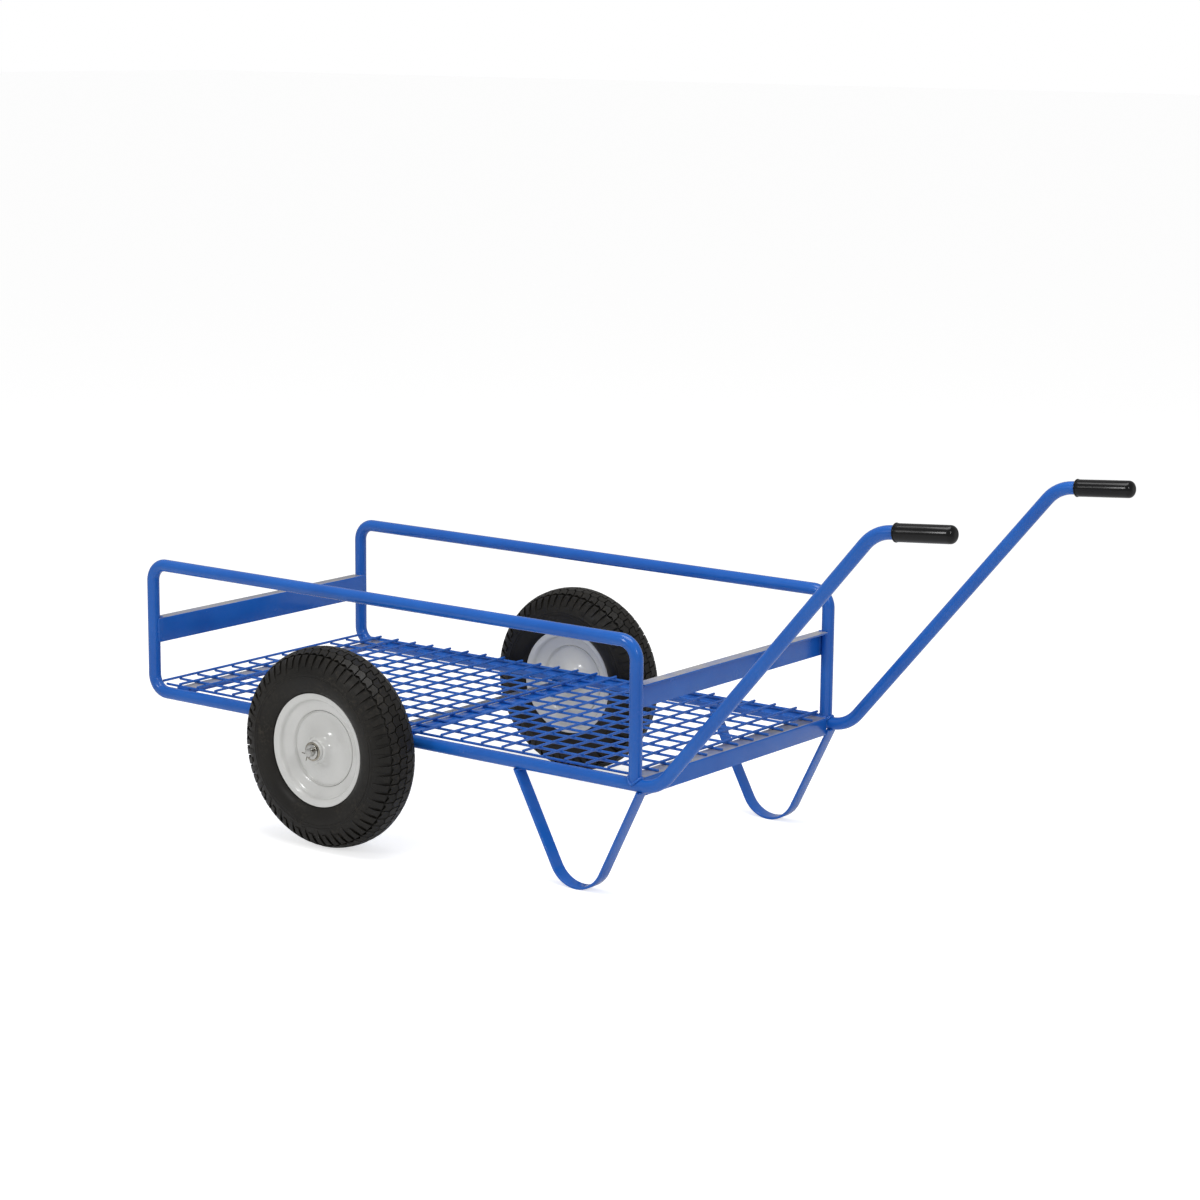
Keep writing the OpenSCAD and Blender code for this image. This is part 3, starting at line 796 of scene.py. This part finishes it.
beads = []
crossbars = ((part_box("front_upper_bar"), front_x + TUBE_R, OFF_POST),
             (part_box("rear_upper_bar"), rear_x - TUBE_R, -OFF_POST))
deck_irons = ((front_angle_low, front_angle_high), (middle_low, middle_high),
              (rear_angle_low, rear_angle_high))
leg_tops = (front_x + LEG_FRONT, front_x + LEG_REAR)
axle_low, axle_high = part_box("axle")
axle_x = (axle_low.x + axle_high.x) / 2
for y in SIDES.values():
    inward = -math.copysign(1, y)
    beads.append(saddle_bead(Vector((rear_x, y, rail_z))))
    for (bar_low, bar_high), face_x, off in crossbars:
        bead_x = face_x + off
        for reach in (0.0072, 0.0004):
            bead_y = y + inward * reach
            beads.append(straight_bead((bead_x, bead_y, bar_low.z + 0.001),
                                       (bead_x, bead_y, bar_high.z - 0.001)))
        bead_y = y + inward * 0.013
        beads.append(straight_bead((bead_x, bead_y, bar_high.z),
                                   (face_x - 6 * off, bead_y, bar_high.z), FLANGE_BEAD_R))
    for iron_low, iron_high in deck_irons:
        for drop, reach in ((0.0012, 0.0112), (0.0042, 0.0132)):
            bead_y = y + inward * reach
            bead_z = iron_high.z - drop
            beads.append(straight_bead((iron_low.x + 0.002, bead_y, bead_z),
                                       (iron_high.x - 0.002, bead_y, bead_z), IRON_BEAD_R))
    for top_x in leg_tops:
        for lean in (-0.0035, 0.0035):
            beads.append(bead_across(top_x + lean, y, 0.012, leg_top - 0.0003))
    for lean in (-0.0045, 0.0045):
        beads.append(bead_across(axle_x + lean, y, 0.010, axle_high.z - 0.0004))
welds = joined(beads, "weld_beads")
wear(welds, "cart_frame", blue_coat, "blue_paint")

# ---- Axle, spacers, washers and split pins -----------------------------------
# A ground steel bar with bright zinc plate crosses under the frame. Spacers and
# washers locate each hub on it, and a split pin through the bar keeps it on.
zinc, zinc_shader = finished_material(
    "zinc_plate", (0.66, 0.66, 0.63), (0.5, 0.5, 0.49), (0.3, 0.26, 0.2), 0.5,
    0.26, 0.42, 900, 0.00002)
zinc_shader.inputs["Metallic"].default_value = 1.0


def refined(node, name, edge, body, material, slot):
    """A copy of a turned or drilled piece with its sharp edges broken."""
    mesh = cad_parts[node].data.copy()
    piece = bpy.data.objects.new(name, mesh)
    scene.collection.objects.link(piece)
    edit(piece)
    bpy.ops.mesh.remove_doubles(threshold=0.000001)
    bpy.ops.mesh.dissolve_limited(angle_limit=math.radians(0.5))
    leave()
    if edge:
        break_edges(piece, edge)
    select_only(piece)
    bpy.ops.object.shade_smooth_by_angle(angle=math.radians(40))
    wear(piece, body, material, slot, node)


bearing_steel, bearing_shader = finished_material(
    "bearing_steel", (0.46, 0.43, 0.36), (0.30, 0.28, 0.24), (0.12, 0.10, 0.07), 0.8,
    0.22, 0.4, 900, 0.00002)
bearing_shader.inputs["Metallic"].default_value = 1.0
refined("axle", "ground_axle", 0.0006, "cart_frame", zinc, "zinc_steel")
for side in SIDES:
    refined(f"inner_spacer_{side}", f"spacer_{side}", 0.0004, "cart_frame", zinc, "zinc_steel")
    refined(f"outer_washer_{side}", f"washer_{side}", 0.0003, "cart_frame", zinc, "zinc_steel")
    refined(f"cotter_pin_{side}", f"split_pin_{side}", 0, "cart_frame", bearing_steel,
            "bearing_steel")

# ---- Bearings ----------------------------------------------------------------
# Each hub end holds a pressed cup, a cone on the axle and nine balls. Only the
# cup's flange shows, so the cones and balls keep their own shapes.


def recoat(node, material):
    """Gives a designed piece, whose own shape is right, a better material."""
    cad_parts[node].data.materials.clear()
    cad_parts[node].data.materials.append(material)


for side in SIDES:
    for end in ("outer", "inner"):
        refined(f"{end}_cup_{side}", f"{end}_bearing_cup_{side}", 0.0003, f"{side}_wheel",
                bearing_steel, "bearing_steel")
        for kept in (f"{end}_cone_{side}", f"{end}_balls_{side}"):
            recoat(kept, bearing_steel)

# ---- Wheel hubs, discs and rims ----------------------------------------------
# Two pressed discs and two rolled rim halves are welded round a hub tube, then
# the whole wheel is enamelled white. Sheet is 1.8 mm and every bend is rounded.
enamel, enamel_shader = finished_material(
    "white_enamel", (0.74, 0.74, 0.72), (0.69, 0.69, 0.67), (0.30, 0.27, 0.22), 0.12,
    0.14, 0.22, 300, 0.00002)
enamel_shader.inputs["Coat Weight"].default_value = 0.4
enamel_shader.inputs["Coat Roughness"].default_value = 0.06
add_edge_wear(enamel, enamel_shader, (0.35, 0.33, 0.29), 0.25)
SHEET = 0.0018
WHEEL_SEGMENTS = 56

wheel_centre = {}
for side in SIDES:
    low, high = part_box(f"tyre_{side}")
    wheel_centre[side] = (low + high) / 2


def fit_both_wheels(piece, name, material, slot, node):
    """Copies a piece made about the origin, outboard to -Y, to both wheels."""
    for side, turn in (("left", 0.0), ("right", math.pi)):
        wear(copied(piece, f"{name}_{side}", wheel_centre[side], turn), f"{side}_wheel",
             material, slot, f"{node}_{side}")
    bpy.data.objects.remove(piece)


def pressed_sheet(name, outline, facing):
    """Sheet turned from a line of (outboard, radius) in mm. facing is -1 for an inboard piece."""
    line = [(0.001 * y * facing, 0.001 * r) for y, r in outline]
    piece = turned(name, line, WHEEL_SEGMENTS)
    tidy_mesh(piece, 180)
    apply_modifier(piece, "SOLIDIFY", thickness=SHEET, offset=0, use_even_offset=True)
    apply_modifier(piece, "SUBSURF", levels=2, render_levels=2)
    tidy_mesh(piece, 60)
    return piece


rim_line = [(0.02, 76.8), (9, 76.8), (17.2, 76.8), (19.2, 78.6), (24.4, 95), (27.4, 99.8),
            (33, 100.6), (36.2, 103), (37.1, 107), (37.3, 112.1), (38.6, 113.9)]
disc_line = [(19, 74.98), (15.6, 74.98), (13.6, 73.6), (13.0, 70), (13.4, 65), (15.5, 52),
             (18.5, 42), (22.5, 34.5), (28, 29), (34, 25.8), (39.5, 24), (42, 22.2), (42, 19.7)]
for end, facing in (("outer", 1), ("inner", -1)):
    fit_both_wheels(pressed_sheet("rim", rim_line, facing), f"{end}_rolled_rim", enamel,
                    "white_paint", f"rim_{end}_half")
    fit_both_wheels(pressed_sheet("disc", disc_line, facing), f"{end}_pressed_disc", enamel,
                    "white_paint", f"{end}_disc")
for side in SIDES:
    refined(f"hub_tube_{side}", f"hub_sleeve_{side}", 0.0003, f"{side}_wheel", enamel,
            "white_paint")

# ---- Tyres -------------------------------------------------------------------
# Moulded rubber on both sides of a smooth sidewall: four rows of interlocking
# zigzag blocks, and long and short lugs that run over the shoulder.
rubber, rubber_shader = finished_material(
    "tyre_rubber", (0.0125, 0.0110, 0.0088), (0.0075, 0.0066, 0.0053), (0.10, 0.083, 0.062), 0.4,
    0.42, 0.6, 260, 0.00008)
rubber_shader.inputs["Specular IOR Level"].default_value = 0.28
TYRE_R = 0.201
TYRE_HALF = 0.051
CASING_MID = 0.150
CASING_POWER = 2.35
SIDEWALL_T = 0.005
CROWN_T = 0.009
TREAD_DEPTH = 0.005
LUG_START = 0.0378
LUG_END = 0.074
SHORT_LUG_END = LUG_END - 0.010
TREAD_EDGE = 0.042                       # the tread is full depth as far as this,
TREAD_END = LUG_END + 0.004              # and has run out here
RIB_HEIGHT = 0.0006


def casing_at(degrees, half_width=TYRE_HALF, height=TYRE_R - CASING_MID):
    a = math.radians(degrees)
    return Vector((half_width * math.sin(a) ** (2 / CASING_POWER),
                   CASING_MID + height * math.copysign(abs(math.cos(a)) ** (2 / CASING_POWER),
                                                       math.cos(a))))


casing = [casing_at(a * 0.5) for a in range(0, 253)]
lengths = [0.0]
for before, after in zip(casing, casing[1:]):
    lengths.append(lengths[-1] + (after - before).length)


def on_casing(distance, height=0.0):
    """(outboard, radius) at a distance round the section from the tread's middle."""
    index = 1
    while index < len(lengths) - 1 and lengths[index] < distance:
        index += 1
    share = (distance - lengths[index - 1]) / (lengths[index] - lengths[index - 1])
    run = casing[index] - casing[index - 1]
    outwards = Vector((-run.y, run.x)).normalized()
    return casing[index - 1] + run * share + outwards * height


def tread_depth(distance):
    if distance < TREAD_EDGE:
        return TREAD_DEPTH
    return max(0.0, TREAD_DEPTH * (TREAD_END - distance) / (TREAD_END - TREAD_EDGE))


# Half of the section: the floor of the tread, two thin ribs round the sidewall,
# the bead that grips the rim, and the cavity back to the middle.
outer_line = [on_casing(d, -tread_depth(d)) for d in [i * 0.0035 for i in range(22)] + [0.0775]]
for rib in (0.0785, 0.0845):
    for step, height in ((-0.0008, 0), (-0.0004, RIB_HEIGHT), (0.0004, RIB_HEIGHT), (0.0008, 0)):
        outer_line.append(on_casing(rib + step, height))
outer_line += [on_casing(d) for d in (0.090, 0.096, 0.102, 0.108, 0.113)]
bead_line = [(0.0400, 0.1158), (0.0378, 0.1162), (0.0362, 0.1140), (0.0352, 0.105),
             (0.033, 0.1020), (0.024, 0.1020), (0.0245, 0.106)]
cavity = [casing_at(a, TYRE_HALF - SIDEWALL_T, TYRE_R - CASING_MID - CROWN_T)
          for a in range(126, -1, -14)]
half_section = [tuple(p) for p in outer_line] + bead_line + [tuple(p) for p in cavity]
half_section[0] = (0.0, half_section[0][1])
half_section[-1] = (0.0, half_section[-1][1])
whole_section = half_section + [(-y, r) for y, r in reversed(half_section)]

tyre = turned("tyre", whole_section, 180)
tidy_mesh(tyre, 38, 0.00001)

PITCHES = 60
pitch = 2 * math.pi * TYRE_R / PITCHES
row_edges = [-0.0355, -0.0180, 0.0, 0.0180, 0.0355]
GROOVE = 0.0010
ZIGZAG = 0.0024
SLANT = 0.0018
CHAMFER = 0.0006
ROOT = 0.001                             # blocks and lugs reach this far into the casing
LUG_T = 0.004
LUG_FILL = 0.72
LUG_TAPER = 0.25
LUG_SWEEP = 0.002
SHOULDER = 0.0362


def zigzag(along):
    phase = (along / pitch) % 1.0
    return ZIGZAG * (4 * abs(phase - 0.5) - 1)


def block(outline, depth):
    """A tread block from its flat outline, with a chamfered top edge."""
    bpy.ops.mesh.primitive_circle_add(vertices=len(outline), radius=0.01, fill_type="NGON")
    piece = bpy.context.object
    for vertex, (along, across) in zip(piece.data.vertices, outline):
        vertex.co = (along, across, -depth)
    edit(piece)
    bpy.ops.mesh.extrude_region_move(TRANSFORM_OT_translate={"value": (0, 0, depth - CHAMFER)})
    bpy.ops.mesh.inset(thickness=CHAMFER, depth=CHAMFER)
    leave()
    return piece


def lug(along, width, start, end, side):
    """A shoulder lug: a long pad that follows the casing down to the sidewall."""
    bpy.ops.mesh.primitive_grid_add(x_subdivisions=1, y_subdivisions=8, size=1)
    piece = bpy.context.object
    for vertex in piece.data.vertices:
        share = vertex.co.y + 0.5
        narrow = 1 - LUG_TAPER * share
        vertex.co = (along + vertex.co.x * width * narrow + share * LUG_SWEEP,
                     side * (start + (end - start) * share), -LUG_T)
    edit(piece)
    if side < 0:
        bpy.ops.mesh.flip_normals()
    bpy.ops.mesh.extrude_region_move(TRANSFORM_OT_translate={"value": (0, 0, LUG_T - CHAMFER)})
    bpy.ops.mesh.inset(thickness=CHAMFER, depth=CHAMFER)
    leave()
    return piece


two_pitches = []
for turn in range(2):
    for row in range(4):
        middle = turn * pitch + (row % 2) * pitch / 2
        ends = (middle - pitch / 2 + GROOVE, middle, middle + pitch / 2 - GROOVE)
        lower = [(s + (-SLANT if s != middle else 0), row_edges[row] + GROOVE + zigzag(s))
                 for s in ends]
        upper = [(s + (SLANT if s != middle else 0), row_edges[row + 1] - GROOVE + zigzag(s))
                 for s in reversed(ends)]
        two_pitches.append(block(lower + upper, TREAD_DEPTH + ROOT))
    for side in (-1, 1):
        middle = turn * pitch + (pitch / 2 if side > 0 else 0)
        lug_end = LUG_END if turn else SHORT_LUG_END
        two_pitches.append(lug(middle, pitch * LUG_FILL, LUG_START, lug_end, side))

# The flat pattern is wrapped on the casing, with the roots past the shoulder set
# to the depth of the tread there. Then it is repeated round the tyre.
tread = joined(two_pitches, "tread")
for vertex in tread.data.vertices:
    along, across, height = vertex.co
    distance = abs(across)
    if distance > SHOULDER and height < -LUG_T / 2:
        height *= (tread_depth(distance) + ROOT) / LUG_T
    y, r = on_casing(distance, height)
    around = along / TYRE_R
    vertex.co = (r * math.sin(around), -math.copysign(y, across), r * math.cos(around))
edit(tread)
copies = PITCHES // 2 - 1
bpy.ops.mesh.spin(steps=copies, dupli=True, angle=2 * math.pi * copies / (copies + 1),
                  center=(0, 0, 0), axis=(0, 1, 0))
leave()
tidy_mesh(tread, 30)
tyre = joined([tyre, tread], "tyre")
fit_both_wheels(tyre, "treaded_tyre", rubber, "tyre_rubber", "tyre")

# ---- Inner tubes and valves --------------------------------------------------
# A butyl tube fills each tyre, and its moulded stem passes the inboard rim half
# with a screwed plastic cap.
butyl, _ = finished_material(
    "butyl_rubber", (0.02, 0.02, 0.02), (0.014, 0.014, 0.014), (0.14, 0.12, 0.10), 0.3,
    0.45, 0.65, 500, 0.00003)
cap_plastic, _ = finished_material(
    "cap_plastic", (0.015, 0.015, 0.016), (0.010, 0.010, 0.011), (0.14, 0.12, 0.10), 0.3,
    0.35, 0.5, 800, 0.00002)
for side in SIDES:
    recoat(f"inner_tube_{side}", butyl)
    refined(f"valve_stem_{side}", f"valve_rubber_{side}", 0.0004, f"{side}_wheel", butyl,
            "tube_rubber")
    refined(f"valve_cap_{side}", f"valve_top_{side}", 0.0004, f"{side}_wheel", cap_plastic,
            "cap_plastic")

bpy.ops.object.select_all(action="DESELECT")
